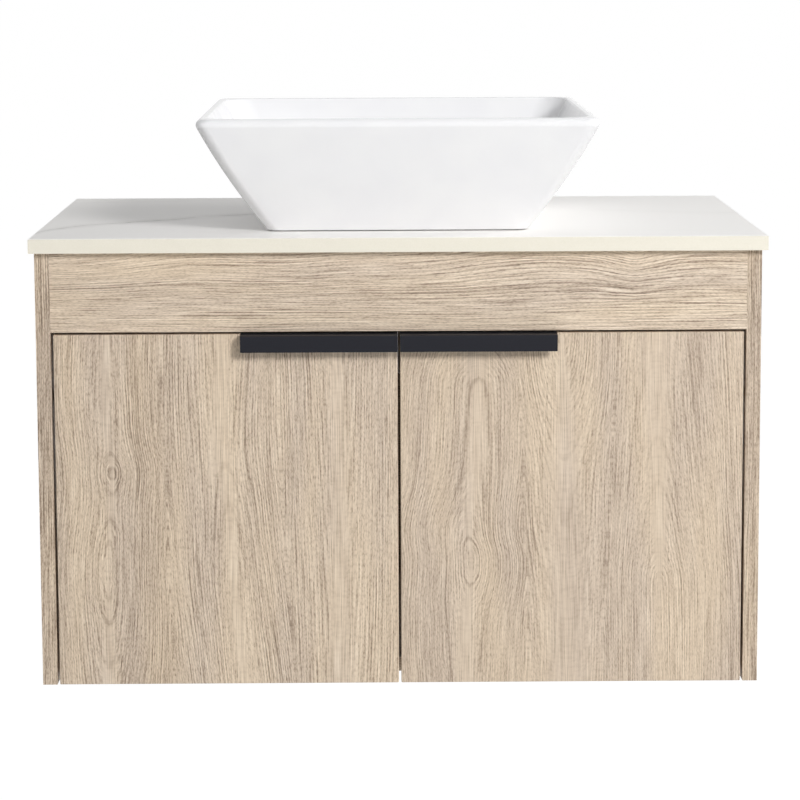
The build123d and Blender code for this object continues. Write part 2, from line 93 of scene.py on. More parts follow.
def finishPiece(name, mesh, body, replaced, material):
    # a new piece at the origin that stands for CAD nodes
    mesh.name = name
    piece = bpy.data.objects.new(name, mesh)
    bpy.context.scene.collection.objects.link(piece)
    mesh.materials.clear()
    mesh.materials.append(material)
    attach(piece, body)
    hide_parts(*replaced)
    return piece


def bakedMesh(piece):
    # evaluated modifiers as a plain mesh; the helper object goes
    view = bpy.context.evaluated_depsgraph_get()
    mesh = bpy.data.meshes.new_from_object(piece.evaluated_get(view))
    bpy.data.objects.remove(piece)
    return mesh


# Oak-print laminate: matt melamine paper with fine grain lines that follow the growth rings, and short pores.
# Layers in millimetres: across the grain, along it, third way. Straight ones run with the board, ringed ones
# with the distance from the heart. Fibres and pores are drawn wider than real ones, so that they show.
oakGrain = {
    "straight": {"plain": (0.62, 48.0, 20.0), "stain": (38.0, 320.0, 150.0), "drift": (5.5, 150.0, 40.0)},
    "ringed": {"fibre": (0.62, 48.0, 20.0), "pore": (0.70, 4.0, 20.0), "line": (4.6, 900.0, 90.0),
               "fade": (12.0, 140.0, 60.0), "ring": (9.0, 500.0, 80.0)},
    "weights": {"fibre": 0.84, "stain": 0.25, "ring": 0.11, "pore": -0.24, "line": -0.15, "comb": 0.11},
    "lift": 0.088,                   # what pores and lines take away on average
    "comb": (2.6, 11.0),             # even fine lines: pitch, and how far drift shifts their phase
    "sway": [(80.0, 300.0, 3.0), (14.0, 120.0, 0.25)],     # sideways moves: across, along, how far
    "fray": (1.2, 26.0, 0.45),       # saw-toothed tips where the grain runs out
    "swayLevel": (0.2, 0.8),         # noise levels of the furthest moves
    "curveSpan": 160.0,              # millimetres that a float curve holds
    "heartBlend": 8.0, "sink": 0.8,  # rings melt together between hearts, and shift below the face
    "steep": (0.6, 0.95), "shown": (0.2, 0.6),     # lean of a ring that turns fibres, and that shows lines
    "lineLevel": (0.01, 0.05),       # distance from the middle noise level: full line, none
    "fadeLevel": (0.36, 0.62), "fadeLeast": 0.2,
    "poreLevel": (0.42, 0.76), "poreLeast": 0.35,
    "markInside": (-3.0, 0.5),       # paler wood inside a mark fades out over this
    "bump": (0.35, 0.0002), "rough": (0.48, 0.62),
    "tones": [(0.0, "#7A6957"), (0.25, "#A39180"), (0.5, "#CDBCA9"), (0.75, "#E4D5C3"), (1.0, "#F4E8D9")],
    "tint": [(0.36, "#FEFDFC"), (0.64, "#FFFCF5")],
}


def oakLaminate(name, board):
    material, tree = newMaterial(name)
    low, high = board["reach"]
    span = oakGrain["curveSpan"]
    place = addNode(tree, "ShaderNodeTexCoord").outputs["Object"]
    metric = addNode(tree, "ShaderNodeVectorMath", {0: place, "Scale": perMetre}, operation="SCALE").outputs[0]
    axes = addNode(tree, "ShaderNodeSeparateXYZ", {0: metric}).outputs
    across, along, deep = [axes[i] for i in board["axes"]]
    share = addNode(tree, "ShaderNodeMapRange", {"Value": along, "From Min": low, "From Max": high}).outputs[0]

    # sway moves the grain sideways, fray moves the rings
    sheet = addNode(tree, "ShaderNodeCombineXYZ", {0: across, 1: along, 2: deep}).outputs[0]
    least, most = oakGrain["swayLevel"]
    moves = []
    for wide, long, far in oakGrain["sway"] + [oakGrain["fray"]]:
        scaled = addNode(tree, "ShaderNodeVectorMath", {0: sheet, 1: (1 / wide, 1 / long, 1 / wide),
                                                        2: (board["seed"], 0, 0)}, operation="MULTIPLY_ADD")
        noise = addNode(tree, "ShaderNodeTexNoise", {"Vector": scaled.outputs[0], "Scale": 1.0, "Detail": 1.0})
        move = addNode(tree, "ShaderNodeMapRange", {"Value": noise.outputs[0], "From Min": least,
                                                    "From Max": most, "To Min": -far, "To Max": far},
                       clamp=False)
        moves.append(move.outputs[0])
    fray = moves.pop()
    swayed = across
    for move in moves:
        swayed = addNode(tree, "ShaderNodeMath", {0: swayed, 1: move}, operation="ADD").outputs[0]

    # distance from the nearest heart gives the rings: round arches, or pointed ones where the heart has a tip
    rings = None
    marks = []
    for heart in board["hearts"]:
        start, tip = heart["centre"][0][1], heart.get("tip")
        depthLine = [((p - low) / (high - low), mm / span) for p, mm in heart["depth"]]
        centreLine = [((p - low) / (high - low), 0.5 + (mm - start) / span) for p, mm in heart["centre"]]
        depth = addNode(tree, "ShaderNodeFloatCurve", {"Value": share}, curve=depthLine).outputs[0]
        centre = addNode(tree, "ShaderNodeFloatCurve", {"Value": share}, curve=centreLine).outputs[0]
        if "settle" in heart:
            # the wave dies out to a straight line across the board
            calm, full, straight = heart["settle"]
            wavy = addNode(tree, "ShaderNodeMapRange", {"Value": across, "From Min": calm,
                                                        "From Max": full}).outputs[0]
            centre = addNode(tree, "ShaderNodeMix", {0: wavy, 2: 0.5 + (straight - start) / span,
                                                     3: centre}).outputs[0]
        aside = addNode(tree, "ShaderNodeMapRange", {"Value": swayed, "From Min": start - span / 2,
                                                     "From Max": start + span / 2}, clamp=False).outputs[0]
        offset = addNode(tree, "ShaderNodeMath", {0: aside, 1: centre}, operation="SUBTRACT").outputs[0]
        pair = addNode(tree, "ShaderNodeCombineXYZ", {0: offset, 1: tip / span if tip else depth}).outputs[0]
        far = addNode(tree, "ShaderNodeVectorMath", {0: pair}, operation="LENGTH").outputs["Value"]
        lean = addNode(tree, "ShaderNodeMath", {0: offset, 1: far}, operation="DIVIDE").outputs[0]
        lean = addNode(tree, "ShaderNodeMath", {0: lean}, operation="ABSOLUTE").outputs[0]
        if tip:
            far = addNode(tree, "ShaderNodeMath", {0: far, 1: depth}, operation="ADD").outputs[0]
        ring = addNode(tree, "ShaderNodeMath", {0: far, 1: span, 2: fray}, operation="MULTIPLY_ADD").outputs[0]
        marks += [(ring, mark) for mark in heart.get("marks", ())]
        if rings is None:
            rings, slope = ring, lean
            continue
        nearer = addNode(tree, "ShaderNodeMath", {0: ring, 1: rings}, operation="LESS_THAN").outputs[0]
        slope = addNode(tree, "ShaderNodeMix", {0: nearer, 2: slope, 3: lean}).outputs[0]
        rings = addNode(tree, "ShaderNodeMath", {0: rings, 1: ring, 2: oakGrain["heartBlend"]},
                        operation="SMOOTH_MIN").outputs[0]
    sunk = addNode(tree, "ShaderNodeMath", {0: deep, 1: oakGrain["sink"], 2: rings},
                   operation="MULTIPLY_ADD").outputs[0]
    least, most = oakGrain["steep"]
    steep = addNode(tree, "ShaderNodeMapRange", {"Value": slope, "From Min": least, "From Max": most},
                    interpolation_type="SMOOTHSTEP").outputs[0]
    least, most = oakGrain["shown"]
    shown = addNode(tree, "ShaderNodeMapRange", {"Value": slope, "From Min": least,
                                                 "From Max": most}).outputs[0]

    # noise stretched along the grain; the middle level of one layer draws long thin lines
    plain = addNode(tree, "ShaderNodeCombineXYZ", {0: swayed, 1: along, 2: deep}).outputs[0]
    curved = addNode(tree, "ShaderNodeCombineXYZ", {0: sunk, 1: along, 2: swayed}).outputs[0]
    noises = {}
    for way, layers in ((plain, oakGrain["straight"]), (curved, oakGrain["ringed"])):
        for layer, sizes in layers.items():
            scaled = addNode(tree, "ShaderNodeVectorMath", {0: way, 1: [1 / mm for mm in sizes],
                                                            2: (board["seed"], 0, 0)}, operation="MULTIPLY_ADD")
            noises[layer] = addNode(tree, "ShaderNodeTexNoise", {"Vector": scaled.outputs[0], "Scale": 1.0,
                                                                 "Detail": 1.0, "Roughness": 0.55}).outputs[0]
    # fibres turn with the rings beside an arch; its flat is plainer, without lines and with fewer pores
    noises["fibre"] = addNode(tree, "ShaderNodeMix", {0: steep, 2: noises.pop("plain"),
                                                      3: noises["fibre"]}).outputs[0]
    least, most = oakGrain["fadeLevel"]
    fade = addNode(tree, "ShaderNodeMapRange", {"Value": noises.pop("fade"), "From Min": least,
                                                "From Max": most, "To Min": oakGrain["fadeLeast"]}).outputs[0]
    fade = addNode(tree, "ShaderNodeMath", {0: fade, 1: shown}, operation="MULTIPLY").outputs[0]
    away = addNode(tree, "ShaderNodeMath", {0: noises["line"], 1: 0.5}, operation="SUBTRACT").outputs[0]
    away = addNode(tree, "ShaderNodeMath", {0: away}, operation="ABSOLUTE").outputs[0]
    least, most = oakGrain["lineLevel"]
    noises["line"] = addNode(tree, "ShaderNodeMapRange", {"Value": away, "From Min": least, "From Max": most,
                                                          "To Min": fade, "To Max": 0.0},
                             interpolation_type="SMOOTHSTEP").outputs[0]
    amount = addNode(tree, "ShaderNodeMapRange", {"Value": shown, "To Min": oakGrain["poreLeast"]}).outputs[0]
    least, most = oakGrain["poreLevel"]
    noises["pore"] = addNode(tree, "ShaderNodeMapRange", {"Value": noises["pore"], "From Min": least,
                                                          "From Max": most, "To Max": amount}).outputs[0]
    # a board with its own comb has it along the rings
    pitch, shift = board.get("comb", oakGrain["comb"])
    combed = sunk if "comb" in board else swayed
    phase = addNode(tree, "ShaderNodeMath", {0: noises.pop("drift"), 1: shift}, operation="MULTIPLY").outputs[0]
    phase = addNode(tree, "ShaderNodeMath", {0: combed, 1: 2 * math.pi / pitch, 2: phase},
                    operation="MULTIPLY_ADD").outputs[0]
    wave = addNode(tree, "ShaderNodeMath", {0: phase}, operation="SINE").outputs[0]
    noises["comb"] = addNode(tree, "ShaderNodeMath", {0: wave, 1: fade}, operation="MULTIPLY").outputs[0]

    # weighted sum of the layers, then the board's own stripes and marks
    weights = {**oakGrain["weights"], **board.get("weights", {})}
    weights = {layer: weight * board["contrast"] for layer, weight in weights.items()}
    average = sum(weights[layer] for layer in ("fibre", "stain", "ring")) / 2
    tone = 0.5 - board["shade"] - average + oakGrain["lift"] * board["contrast"]
    for layer, weight in weights.items():
        tone = addNode(tree, "ShaderNodeMath", {0: noises[layer], 1: weight, 2: tone},
                       operation="MULTIPLY_ADD").outputs[0]
    for middle, half, dark in board.get("stripes", ()):
        away = addNode(tree, "ShaderNodeMath", {0: swayed, 1: middle}, operation="SUBTRACT").outputs[0]
        away = addNode(tree, "ShaderNodeMath", {0: away}, operation="ABSOLUTE").outputs[0]
        stripe = addNode(tree, "ShaderNodeMapRange", {"Value": away, "From Max": half, "To Min": dark,
                                                      "To Max": 0.0},
                         interpolation_type="SMOOTHSTEP").outputs[0]
        tone = addNode(tree, "ShaderNodeMath", {0: tone, 1: stripe}, operation="SUBTRACT").outputs[0]
    least, most = oakGrain["markInside"]
    for ring, (radius, half, dark, pale) in marks:
        # dark outline at one ring, paler wood within it
        away = addNode(tree, "ShaderNodeMath", {0: ring, 1: radius}, operation="SUBTRACT").outputs[0]
        inner = addNode(tree, "ShaderNodeMapRange", {"Value": away, "From Min": least, "From Max": most,
                                                     "To Min": pale, "To Max": 0.0},
                        interpolation_type="SMOOTHSTEP").outputs[0]
        away = addNode(tree, "ShaderNodeMath", {0: away}, operation="ABSOLUTE").outputs[0]
        outline = addNode(tree, "ShaderNodeMapRange", {"Value": away, "From Max": half, "To Min": dark,
                                                       "To Max": 0.0},
                          interpolation_type="SMOOTHSTEP").outputs[0]
        tone = addNode(tree, "ShaderNodeMath", {0: tone, 1: outline}, operation="SUBTRACT").outputs[0]
        tone = addNode(tree, "ShaderNodeMath", {0: tone, 1: inner}, operation="ADD").outputs[0]

    colour = addNode(tree, "ShaderNodeValToRGB", {0: tone}, stops=oakGrain["tones"]).outputs[0]
    tint = addNode(tree, "ShaderNodeValToRGB", {0: noises["stain"]}, stops=oakGrain["tint"]).outputs[0]
    colour = addNode(tree, "ShaderNodeMix", {0: 1.0, 6: colour, 7: tint}, data_type="RGBA",
                     blend_type="MULTIPLY").outputs[2]
    raised = addNode(tree, "ShaderNodeMath", {0: noises["fibre"], 1: noises["pore"]},
                     operation="SUBTRACT").outputs[0]
    strength, distance = oakGrain["bump"]
    bump = addNode(tree, "ShaderNodeBump", {"Height": raised, "Strength": strength,
                                            "Distance": distance}).outputs[0]
    least, most = oakGrain["rough"]
    rough = addNode(tree, "ShaderNodeMapRange", {"Value": noises["pore"], "To Min": least,
                                                 "To Max": most}).outputs[0]
    closeMaterial(tree, {"Base Color": colour, "Roughness": rough, "Normal": bump})
    return material


# Hearts of the printed boards: where each runs along the board, and how deep it lies under the face.
# Positions in millimetres of the shared frame; depth small = wide arches, depth rising = arch closes.
# A tip makes the arches pointed. settle is (place without wave, place of full wave, place of the straight
# line), marks are (ring, half width, dark outline, paler inside), stripes are (place across, half width,
# darkness).
upright, level, flat, standing = (0, 2, 1), (2, 0, 1), (1, 0, 2), (1, 2, 0)     # axes across, along and deep
plainHearts = [
    {"centre": [(-230, -120), (220, -135)], "depth": [(-230, 4), (-60, 12), (60, 22), (220, 38)]},
    {"centre": [(-230, -310), (220, -300)], "depth": [(-230, 40), (-90, 24), (90, 9), (220, 3)]},
]
oakBoards = {
    "left_door_panel": {
        "axes": upright, "reach": (-230, 136), "seed": 3.1, "shade": 0.02, "contrast": 1.1,
        "comb": (2.5, 8.0),
        "stripes": [(-252, 34, 0.10), (-348, 22, 0.05)],
        "hearts": [
            {"centre": [(-230, -301), (-165, -300), (-109, -301), (-57, -298), (-8, -295), (40, -300),
                        (136, -300)],
             "depth": [(-230, 19), (-190, 13), (-165, 9.5), (-140, 5), (-109, 2), (-80, 5), (-57, 9.5),
                       (-40, 10.5), (-22, 8), (-8, 4), (6, 8), (20, 11), (70, 12), (136, 15)],
             "marks": [(9.5, 1.0, 0.16, 0.02), (5.0, 0.9, 0.12, 0.0), (16.0, 0.9, 0.12, 0.0)]},
            {"centre": [(-230, -161), (-190, -165), (-109, -172.5), (-42, -176.5), (20, -180), (136, -182)],
             "depth": [(-230, 11), (-190, 12), (-109, 13), (-75, 16), (-42, 19), (-10, 22.5), (50, 28),
                       (136, 36)],
             "marks": [(19.0, 0.8, 0.10, 0.015), (23.5, 0.8, 0.10, 0.0)]},
            {"centre": [(-230, -184), (47, -183.5), (136, -182)],
             "depth": [(-230, 50), (-109, 37), (-42, 28), (0, 23.5), (47, 20.5), (98, 17.8), (136, 15)]},
            {"centre": [(-230, -63), (136, -63)],
             "depth": [(-230, 30), (-100, 26), (-17, 22.5), (60, 19.5), (94, 18), (136, 14)],
             "marks": [(18.0, 0.7, 0.08, 0.02)]},
        ],
    },
    "right_door_panel": {
        "axes": upright, "reach": (-230, 136), "seed": 11.7, "shade": 0.03, "contrast": 0.88,
        "comb": (2.5, 8.0),
        "hearts": [
            {"centre": [(-230, 68), (-157, 68), (-102, 72), (-69, 68.5), (-51, 70), (-16, 76), (35, 78.5),
                        (136, 79)],
             "depth": [(-230, 20), (-202, 18), (-157, 15), (-140, 11), (-127, 8), (-115, 4), (-102, 2),
                       (-90, 4), (-78, 8), (-69, 9.6), (-51, 13.3), (-16, 18.7), (35, 21.3), (75, 22.6),
                       (88, 24), (98, 28), (136, 44)],
             "marks": [(24.0, 1.0, 0.17, 0.03), (8.0, 1.1, 0.18, 0.03)]},
            {"centre": [(-230, 172), (-58, 171), (136, 168)],
             "depth": [(-230, 54), (-160, 48), (-100, 42), (-58, 38), (-25, 36.4), (19, 31), (52, 24.6),
                       (86, 15), (136, 2)],
             "marks": [(38.0, 0.7, 0.08, 0.02), (33.0, 0.7, 0.07, 0.0)]},
            {"centre": [(-230, 268), (26, 266), (136, 265)],
             "depth": [(-230, 1), (-160, 2), (-124, 4), (-100, 12), (-53, 20.6), (-22, 24.7), (26, 30),
                       (80, 35), (136, 39.5)],
             "marks": [(30.0, 0.7, 0.06, 0.015), (24.7, 0.7, 0.06, 0.01)]},
        ],
    },
    "fascia_panel": {
        "axes": level, "reach": (-355, 355), "seed": 21.3, "shade": -0.01, "contrast": 1.2,
        "comb": (2.8, 8.0),
        "weights": {"comb": 0.13, "fibre": 0.9, "ring": 0.04, "stain": 0.16, "pore": -0.20},
        "stripes": [(178, 24, 0.06)],
        "hearts": [
            {"centre": [(-355, 225), (-294, 229.5), (-233, 237.5), (-202, 239), (-141, 238), (-110, 238),
                        (-49, 241), (12, 242.5), (43, 244), (104, 249), (165, 251), (196, 249.5), (226, 244.5),
                        (240, 242.5), (257, 245.5), (290, 250.5), (355, 250)],
             "tip": 3.0, "depth": [(-355, 0), (355, 0)], "settle": (162, 208, 240)},
        ],
    },
    "left_side_panel": {
        "axes": standing, "reach": (-230, 220), "seed": 31.9, "shade": 0.0, "contrast": 1.0,
        "hearts": plainHearts},
    "right_side_panel": {
        "axes": standing, "reach": (-230, 220), "seed": 43.7, "shade": 0.0, "contrast": 1.0,
        "hearts": plainHearts},
    "left_edge_band": {
        "axes": upright, "reach": (-230, 220), "seed": 51.1, "shade": 0.12, "contrast": 1.3,
        "hearts": [{"centre": [(-230, -420), (220, -410)], "depth": [(-230, 10), (220, 20)]}]},
    "right_edge_band": {
        "axes": upright, "reach": (-230, 220), "seed": 57.3, "shade": 0.12, "contrast": 1.1,
        "hearts": [{"centre": [(-230, 420), (220, 410)], "depth": [(-230, 10), (220, 20)]}]},
    "bottom_panel": {
        "axes": flat, "reach": (-355, 355), "seed": 63.9, "shade": 0.0, "contrast": 1.0,
        "hearts": [{"centre": [(-355, -300), (355, -280)], "depth": [(-355, 4), (0, 16), (355, 34)]},
                   {"centre": [(-355, -110), (355, -130)], "depth": [(-355, 30), (0, 12), (355, 2)]}]},
    "upper_hanging_rail": {
        "axes": level, "reach": (-355, 355), "seed": 71.3, "shade": 0.0, "contrast": 1.0,
        "hearts": [{"centre": [(-355, 160), (355, 176)], "depth": [(-355, 6), (0, 14), (355, 30)]}]},
    "lower_back_rail": {
        "axes": level, "reach": (-355, 355), "seed": 77.9, "shade": 0.0, "contrast": 1.0,
        "hearts": [{"centre": [(-355, -160), (355, -176)], "depth": [(-355, 30), (0, 14), (355, 6)]}]},
    "back_panel": {
        "axes": level, "reach": (-355, 355), "seed": 83.3, "shade": 0.0, "contrast": 1.0,
        "hearts": [{"centre": [(-355, 70), (355, 50)], "depth": [(-355, 34), (0, 16), (355, 4)]},
                   {"centre": [(-355, -80), (355, -60)], "depth": [(-355, 4), (0, 14), (355, 34)]}]},
}
finishes = {}
for node, board in oakBoards.items():
    finishes[node] = oakLaminate("oakLaminate_" + node, board)
print("oak boards:", len(finishes))


# Sintered stone slab: white printed face with soft grey veins, cream body where the edges are sawn and eased.
# Sizes and places in millimetres.
stoneSlab = {
    "face": "#F7F5F2", "vein": "#8F8A82", "body": [(0.3, "#E8E3D4"), (0.7, "#EBE6D8")],
    "faceLow": 234.1, "faceHigh": 234.8,     # height of the printed face, inside the eased edge
    "halfWidth": 375.0, "pathLow": -500.0, "pathSpan": 600.0,     # room that the vein paths have
    "wobble": (38.0, 9.0),           # side steps of a vein: how long, how far
    "fading": (60.0, 0.2, 0.55),     # patches where a vein fades: size, noise levels of none and all
    "hazeShare": 0.28,
    "grit": 1.4, "bump": (0.12, 0.0001),
    "rough": (0.55, 0.42),           # sawn body, printed face
    "veins": [
        # path over the slab as (x, y), reach of the line, reach of the haze, strength
        ([(-375, -405), (-360, -364), (-320, -312), (-281, -287), (-242, -260), (-216, -233), (-176, -211),
          (-60, -150), (60, -70), (140, 30), (375, 95)], 3.96, 32.0, 0.95),
        ([(-375, -60), (-150, -20), (0, 5), (120, -60), (190, -150), (375, -215)], 2.64, 36.0, 0.10),
    ],
}


def sinteredStone(name):
    material, tree = newMaterial(name)
    place = addNode(tree, "ShaderNodeTexCoord").outputs["Object"]
    metric = addNode(tree, "ShaderNodeVectorMath", {0: place, "Scale": perMetre}, operation="SCALE").outputs[0]
    long, far = stoneSlab["wobble"]
    wobble = addNode(tree, "ShaderNodeTexNoise", {"Vector": metric, "Scale": 1 / long,
                                                  "Detail": 3.0}).outputs[0]
    wobble = addNode(tree, "ShaderNodeMapRange", {"Value": wobble, "To Min": -far, "To Max": far}).outputs[0]
    patch, none, full = stoneSlab["fading"]
    strength = addNode(tree, "ShaderNodeTexNoise", {"Vector": metric, "Scale": 1 / patch,
                                                    "Detail": 2.0}).outputs[0]
    strength = addNode(tree, "ShaderNodeMapRange", {"Value": strength, "From Min": none,
                                                    "From Max": full}).outputs[0]
    x, y, z = addNode(tree, "ShaderNodeSeparateXYZ", {0: metric}).outputs
    half, low, span = stoneSlab["halfWidth"], stoneSlab["pathLow"], stoneSlab["pathSpan"]
    share = addNode(tree, "ShaderNodeMapRange", {"Value": x, "From Min": -half, "From Max": half}).outputs[0]
    colour = hexLinear(stoneSlab["face"])
    for path, line, haze, power in stoneSlab["veins"]:
        curve = [((px + half) / (2 * half), (py - low) / span) for px, py in path]
        height = addNode(tree, "ShaderNodeFloatCurve", {"Value": share}, curve=curve).outputs[0]
        middle = addNode(tree, "ShaderNodeMath", {0: height, 1: span, 2: low},
                         operation="MULTIPLY_ADD").outputs[0]
        middle = addNode(tree, "ShaderNodeMath", {0: middle, 1: wobble}, operation="ADD").outputs[0]
        away = addNode(tree, "ShaderNodeMath", {0: y, 1: middle}, operation="SUBTRACT").outputs[0]
        away = addNode(tree, "ShaderNodeMath", {0: away}, operation="ABSOLUTE").outputs[0]
        layers = []
        for reach, most in ((line, power), (haze, power * stoneSlab["hazeShare"])):
            layers.append(addNode(tree, "ShaderNodeMapRange", {"Value": away, "From Max": reach, "To Min": most,
                                                               "To Max": 0.0},
                                  interpolation_type="SMOOTHSTEP").outputs[0])
        both = addNode(tree, "ShaderNodeMath", {0: layers[0], 1: layers[1]}, operation="MAXIMUM").outputs[0]
        both = addNode(tree, "ShaderNodeMath", {0: both, 1: strength}, operation="MULTIPLY").outputs[0]
        colour = addNode(tree, "ShaderNodeMix", {0: both, 6: colour, 7: hexLinear(stoneSlab["vein"])},
                         data_type="RGBA").outputs[2]
    printed = addNode(tree, "ShaderNodeMapRange", {"Value": z, "From Min": stoneSlab["faceLow"],
                                                   "From Max": stoneSlab["faceHigh"]}).outputs[0]
    grit = addNode(tree, "ShaderNodeTexNoise", {"Vector": metric, "Scale": 1 / stoneSlab["grit"],
                                                "Detail": 3.0}).outputs[0]
    body = addNode(tree, "ShaderNodeValToRGB", {0: grit}, stops=stoneSlab["body"]).outputs[0]
    colour = addNode(tree, "ShaderNodeMix", {0: printed, 6: body, 7: colour}, data_type="RGBA").outputs[2]
    sawn, smooth = stoneSlab["rough"]
    rough = addNode(tree, "ShaderNodeMapRange", {"Value": printed, "To Min": sawn,
                                                 "To Max": smooth}).outputs[0]
    relief, distance = stoneSlab["bump"]
    bump = addNode(tree, "ShaderNodeBump", {"Height": grit, "Strength": relief,
                                            "Distance": distance}).outputs[0]
    closeMaterial(tree, {"Base Color": colour, "Roughness": rough, "Normal": bump})
    return material


# Vitreous china under a clear glaze: cool white, mirror-like but a little wavy from the dipping.
glaze = {"pool": 45.0, "colours": [(0.3, "#F2F2F4"), (0.7, "#F5F5F6")], "rough": (0.12, 0.2),
         "bump": (0.08, 0.002), "index": 1.52}


def glazedCeramic(name):
    material, tree = newMaterial(name)
    place = addNode(tree, "ShaderNodeTexCoord").outputs["Object"]
    metric = addNode(tree, "ShaderNodeVectorMath", {0: place, "Scale": perMetre}, operation="SCALE").outputs[0]
    pool = addNode(tree, "ShaderNodeTexNoise", {"Vector": metric, "Scale": 1 / glaze["pool"],
                                                "Detail": 1.0}).outputs[0]
    colour = addNode(tree, "ShaderNodeValToRGB", {0: pool}, stops=glaze["colours"]).outputs[0]
    least, most = glaze["rough"]
    rough = addNode(tree, "ShaderNodeMapRange", {"Value": pool, "To Min": least, "To Max": most}).outputs[0]
    relief, distance = glaze["bump"]
    bump = addNode(tree, "ShaderNodeBump", {"Height": pool, "Strength": relief,
                                            "Distance": distance}).outputs[0]
    closeMaterial(tree, {"Base Color": colour, "Roughness": rough, "Normal": bump, "IOR": glaze["index"]})
    return material


# Hardware finishes: grit is the size of the surface pattern in millimetres, stretch draws it out. Metals keep
# the shader's own index.
hardware = {
    # powder coat on folded aluminium: blue-black, matt, orange-peel skin
    "black_aluminium": {"name": "powderCoatedAluminium", "tones": ("#0D0E16", "#15161F"), "rough": (0.42, 0.55),
                        "metal": 0.0, "index": 1.32, "grit": 0.9, "stretch": (1, 1, 1), "relief": 0.25},
    # nickel plate on pressed steel: warm grey, soft sheen, rolling lines
    "nickel_steel": {"name": "nickelPlatedSteel", "tones": ("#B5B1A9", "#C9C6BE"), "rough": (0.22, 0.36),
                     "metal": 1.0, "grit": 1.2, "stretch": (1, 1, 0.12), "relief": 0.06},
    # die-cast zinc: blue-grey, granular skin
    "zinc_casting": {"name": "dieCastZinc", "tones": ("#9C9EA2", "#B2B4B7"), "rough": (0.34, 0.5),
                     "metal": 1.0, "grit": 0.8, "stretch": (1, 1, 1), "relief": 0.15},
    # turned beech: pink-brown with short flecks
    "beech_dowel": {"name": "turnedBeech", "tones": ("#B98E64", "#D3AC82"), "rough": (0.5, 0.65),
                    "metal": 0.0, "index": 1.5, "grit": 0.9, "stretch": (0.1, 1, 1), "relief": 0.25},
    # chrome plate on brass: mirror with faint water marks
    "chrome_brass": {"name": "chromePlatedBrass", "tones": ("#D4D6D9", "#E2E3E5"), "rough": (0.05, 0.16),
                     "metal": 1.0, "grit": 9.0, "stretch": (1, 1, 1), "relief": 0.02},
    # moulded rubber: near black, dusty
    "black_rubber": {"name": "mouldedRubber", "tones": ("#1C1C1C", "#292929"), "rough": (0.6, 0.8),
                     "metal": 0.0, "index": 1.5, "grit": 1.5, "stretch": (1, 1, 1), "relief": 0.2},
    # silicone sealant: milky, tooled smooth
    "clear_sealant": {"name": "siliconeSealant", "tones": ("#CFCFCB", "#DCDCD9"), "rough": (0.25, 0.4),
                      "metal": 0.0, "index": 1.41, "grit": 6.0, "stretch": (1, 1, 1), "relief": 0.2},
    # moulded nylon: mid grey, fine spark texture
    "grey_plastic": {"name": "mouldedNylon", "tones": ("#6A6B6E", "#7A7B7E"), "rough": (0.45, 0.6),
                     "metal": 0.0, "index": 1.53, "grit": 0.7, "stretch": (1, 1, 1), "relief": 0.2},
}
patternLevel = (0.3, 0.7)        # noise levels of the darkest and the lightest spots
reliefDepth = 0.0001             # metres


def hardwareFinish(given):
    material, tree = newMaterial(given["name"])
    low, high = patternLevel
    (darkest, lightest), (smooth, rough) = given["tones"], given["rough"]
    sizes = [perMetre * s / given["grit"] for s in given["stretch"]]
    place = addNode(tree, "ShaderNodeTexCoord").outputs["Object"]
    scaled = addNode(tree, "ShaderNodeVectorMath", {0: place, 1: sizes}, operation="MULTIPLY").outputs[0]
    grain = addNode(tree, "ShaderNodeTexNoise", {"Vector": scaled, "Scale": 1.0, "Detail": 2.0}).outputs[0]
    stops = [(low, darkest), (high, lightest)]
    colour = addNode(tree, "ShaderNodeValToRGB", {0: grain}, stops=stops).outputs[0]
    dull = addNode(tree, "ShaderNodeMapRange", {"Value": grain, "From Min": low, "From Max": high,
                                                "To Min": smooth, "To Max": rough}).outputs[0]
    bump = addNode(tree, "ShaderNodeBump", {"Height": grain, "Strength": given["relief"],
                                            "Distance": reliefDepth}).outputs[0]
    surface = {"Base Color": colour, "Roughness": dull, "Normal": bump, "Metallic": given["metal"]}
    if "index" in given:
        surface["IOR"] = given["index"]
    closeMaterial(tree, surface)
    return material


slotFinish = {slot: hardwareFinish(given) for slot, given in hardware.items()}
slotFinish["white_slab"] = sinteredStone("sinteredStone")
slotFinish["white_ceramic"] = glazedCeramic("glazedCeramic")
for subpart in frame["record"]["subparts"]:
    node, slot = subpart["node"], subpart["material_slot"]
    for holder in nodes[node].material_slots:
        holder.material = finishes.get(node) or slotFinish[slot]
print("materials:", len(bpy.data.materials))


# Vessel basin: one closed profile lofted round a square with rounded corners
basin = {
    "centre": (0.0, -0.2605), "base": 0.236, "height": 0.119,
    "baseHalf": 0.1355, "rimHalf": 0.20775, "swell": 0.00375,
    "wall": 0.013, "rimWall": 0.014, "floor": 0.014, "drain": 0.0225,
    "outerCorner": 0.013, "bowlCorner": 0.030,
    "baseRound": 0.002, "rimRound": 0.006, "rimInner": 0.0025, "bowlRound": 0.022, "drainRound": 0.0012,
    "floorRing": 0.06, "wallClear": 1.1,     # flat of the floor, and wall points kept clear of the bowl's round
    "wallSteps": 9, "roundSteps": 8, "cornerSteps": 12, "weld": 1e-6,
}


